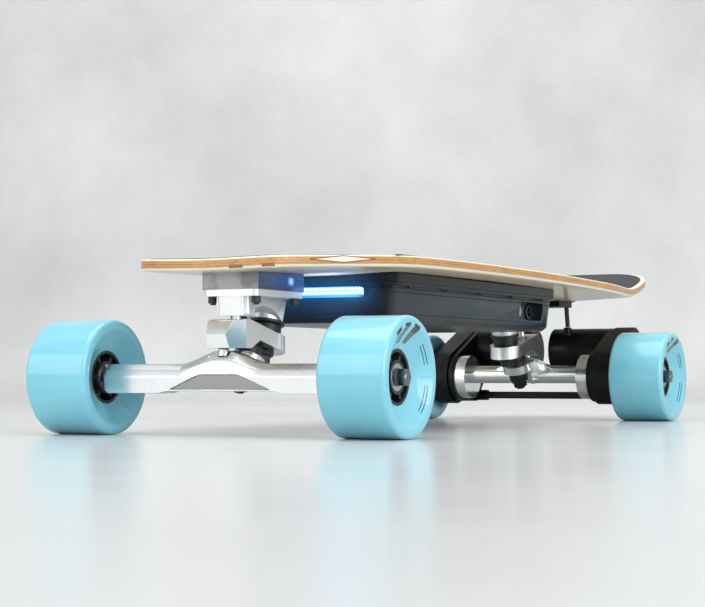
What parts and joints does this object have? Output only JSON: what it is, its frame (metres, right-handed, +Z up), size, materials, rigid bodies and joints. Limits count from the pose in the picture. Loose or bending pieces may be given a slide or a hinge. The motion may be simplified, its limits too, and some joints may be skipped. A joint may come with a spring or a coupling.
{
  "type": "electric skateboard",
  "caption": "Short kicktail electric skateboard with a bamboo deck, sprung steering trucks, belt-driven rear wheels, an under-deck battery box and a front light bar.",
  "frame": {"origin": "on the ground, at the middle of the board's overall box", "axes": "+Z up, +Y towards the tail, +X towards the rider's left when facing the nose"},
  "size_m": [0.3446, 0.8935, 0.1732],
  "materials": {
    "bamboo_ply": "clear-lacquered bamboo ply, pale outer plies",
    "grip": "coarse black grip tape",
    "smoked_plastic": "smoked translucent plastic",
    "light_board": "white circuit board with lit diodes",
    "light_lens": "lit diffuser",
    "forged_aluminium": "satin, bead-blasted",
    "black_steel": "black oxide",
    "bushing_urethane": "cast urethane",
    "box_plastic": "fine moulded texture",
    "battery_wrap": "shrink wrap",
    "heatsink": "extruded fins",
    "port_plastic": "moulded socket",
    "button_plastic": "moulded",
    "cable_rubber": "silicone sleeve",
    "axle_steel": "turned",
    "blue_urethane": "cast urethane, light sky blue",
    "core_nylon": "glass-filled nylon",
    "bearing_steel": "ground steel",
    "black_anodised": "black anodised",
    "rotor_steel": "machined",
    "belt_rubber": "moulded",
    "cover_plastic": "fine moulded texture"
  },
  "bodies": {
    "root": {"deck": "bamboo_ply", "grip_tape": "grip", "front_riser": "smoked_plastic", "rear_riser": "smoked_plastic", "riser_lights": "light_board", "front_baseplate": "forged_aluminium", "rear_baseplate": "forged_aluminium", "deck_bolts": "black_steel", "deck_nuts": "black_steel", "upper_kingpins": "black_steel", "upper_kingpin_washers": "black_steel", "upper_pivot_cups": "bushing_urethane", "front_upper_bushings": "bushing_urethane", "rear_upper_bushings": "bushing_urethane", "enclosure_shell": "box_plastic", "enclosure_screws": "black_steel", "battery_pack": "battery_wrap", "motor_controller": "heatsink", "light_bar": "light_lens", "charge_port": "port_plastic", "cable_clamp": "box_plastic", "motor_cables": "cable_rubber"},
    "power_button": {"power_button": "button_plastic"},
    "front_knuckle": {"front_knuckle": "forged_aluminium", "front_lower_kingpin": "black_steel", "front_lower_bushings": "bushing_urethane"},
    "front_hanger": {"front_hanger": "forged_aluminium", "front_axle": "axle_steel", "front_axle_nuts": "axle_steel"},
    "rear_knuckle": {"rear_knuckle": "forged_aluminium", "rear_lower_kingpin": "black_steel", "rear_lower_bushings": "bushing_urethane"},
    "rear_hanger": {"rear_hanger": "forged_aluminium", "rear_axle": "axle_steel", "rear_axle_nuts": "axle_steel", "left_motor_mount": "black_anodised", "left_motor_housing": "black_anodised", "left_drive_belt": "belt_rubber", "left_belt_cover": "cover_plastic", "right_motor_mount": "black_anodised", "right_motor_housing": "black_anodised", "right_drive_belt": "belt_rubber", "right_belt_cover": "cover_plastic", "motor_brace": "black_anodised"},
    "front_left_wheel": {"front_left_tyre": "blue_urethane", "front_left_wheel_core": "core_nylon", "front_left_bearings": "bearing_steel"},
    "front_right_wheel": {"front_right_tyre": "blue_urethane", "front_right_wheel_core": "core_nylon", "front_right_bearings": "bearing_steel"},
    "rear_left_wheel": {"rear_left_tyre": "blue_urethane", "rear_left_wheel_core": "core_nylon", "rear_left_bearings": "bearing_steel", "left_wheel_pulley": "core_nylon"},
    "rear_right_wheel": {"rear_right_tyre": "blue_urethane", "rear_right_wheel_core": "core_nylon", "rear_right_bearings": "bearing_steel", "right_wheel_pulley": "core_nylon"},
    "left_motor_rotor": {"left_motor_rotor": "rotor_steel"},
    "right_motor_rotor": {"right_motor_rotor": "rotor_steel"}
  },
  "joints": [
    {"name": "front_upper_steer", "type": "hinge", "parent": "root", "child": "front_knuckle", "pos_m": [0, -0.38225, 0.104], "axis": [0, 0.8617, -0.5074], "range_deg": [-10, 10], "stiffness_Nm_per_rad": 140, "deforming": ["front_upper_bushings"]},
    {"name": "front_lower_steer", "type": "hinge", "parent": "front_knuckle", "child": "front_hanger", "pos_m": [0, -0.40225, 0.084], "axis": [0, 0.8302, -0.5574], "range_deg": [-8, 8], "stiffness_Nm_per_rad": 140, "deforming": ["front_lower_bushings"]},
    {"name": "rear_upper_steer", "type": "hinge", "parent": "root", "child": "rear_knuckle", "pos_m": [0, 0.24475, 0.104], "axis": [0, -0.8617, -0.5074], "range_deg": [-10, 10], "stiffness_Nm_per_rad": 140, "deforming": ["rear_upper_bushings", "motor_cables"]},
    {"name": "rear_lower_steer", "type": "hinge", "parent": "rear_knuckle", "child": "rear_hanger", "pos_m": [0, 0.26475, 0.084], "axis": [0, -0.8302, -0.5574], "range_deg": [-8, 8], "stiffness_Nm_per_rad": 140, "deforming": ["rear_lower_bushings", "motor_cables"]},
    {"name": "front_left_wheel_spin", "type": "hinge", "parent": "front_hanger", "child": "front_left_wheel", "pos_m": [0, -0.39825, 0.0485], "axis": [1, 0, 0], "continuous": true},
    {"name": "front_right_wheel_spin", "type": "hinge", "parent": "front_hanger", "child": "front_right_wheel", "pos_m": [0, -0.39825, 0.0485], "axis": [1, 0, 0], "continuous": true},
    {"name": "rear_left_wheel_spin", "type": "hinge", "parent": "rear_hanger", "child": "rear_left_wheel", "pos_m": [0, 0.26075, 0.0485], "axis": [1, 0, 0], "continuous": true},
    {"name": "rear_right_wheel_spin", "type": "hinge", "parent": "rear_hanger", "child": "rear_right_wheel", "pos_m": [0, 0.26075, 0.0485], "axis": [1, 0, 0], "continuous": true},
    {"name": "left_motor_spin", "type": "hinge", "parent": "rear_hanger", "child": "left_motor_rotor", "pos_m": [0, 0.32075, 0.0785], "axis": [1, 0, 0], "continuous": true},
    {"name": "right_motor_spin", "type": "hinge", "parent": "rear_hanger", "child": "right_motor_rotor", "pos_m": [0, 0.32075, 0.0785], "axis": [1, 0, 0], "continuous": true},
    {"name": "power_button_press", "type": "slide", "parent": "root", "child": "power_button", "axis": [-1, 0, 0], "range_m": [0, 0.0012], "stiffness_N_per_m": 600}
  ],
  "couplings": [
    {"joint": "left_motor_spin", "follows": "rear_left_wheel_spin", "ratio": 2.1333},
    {"joint": "right_motor_spin", "follows": "rear_right_wheel_spin", "ratio": 2.1333}
  ]
}
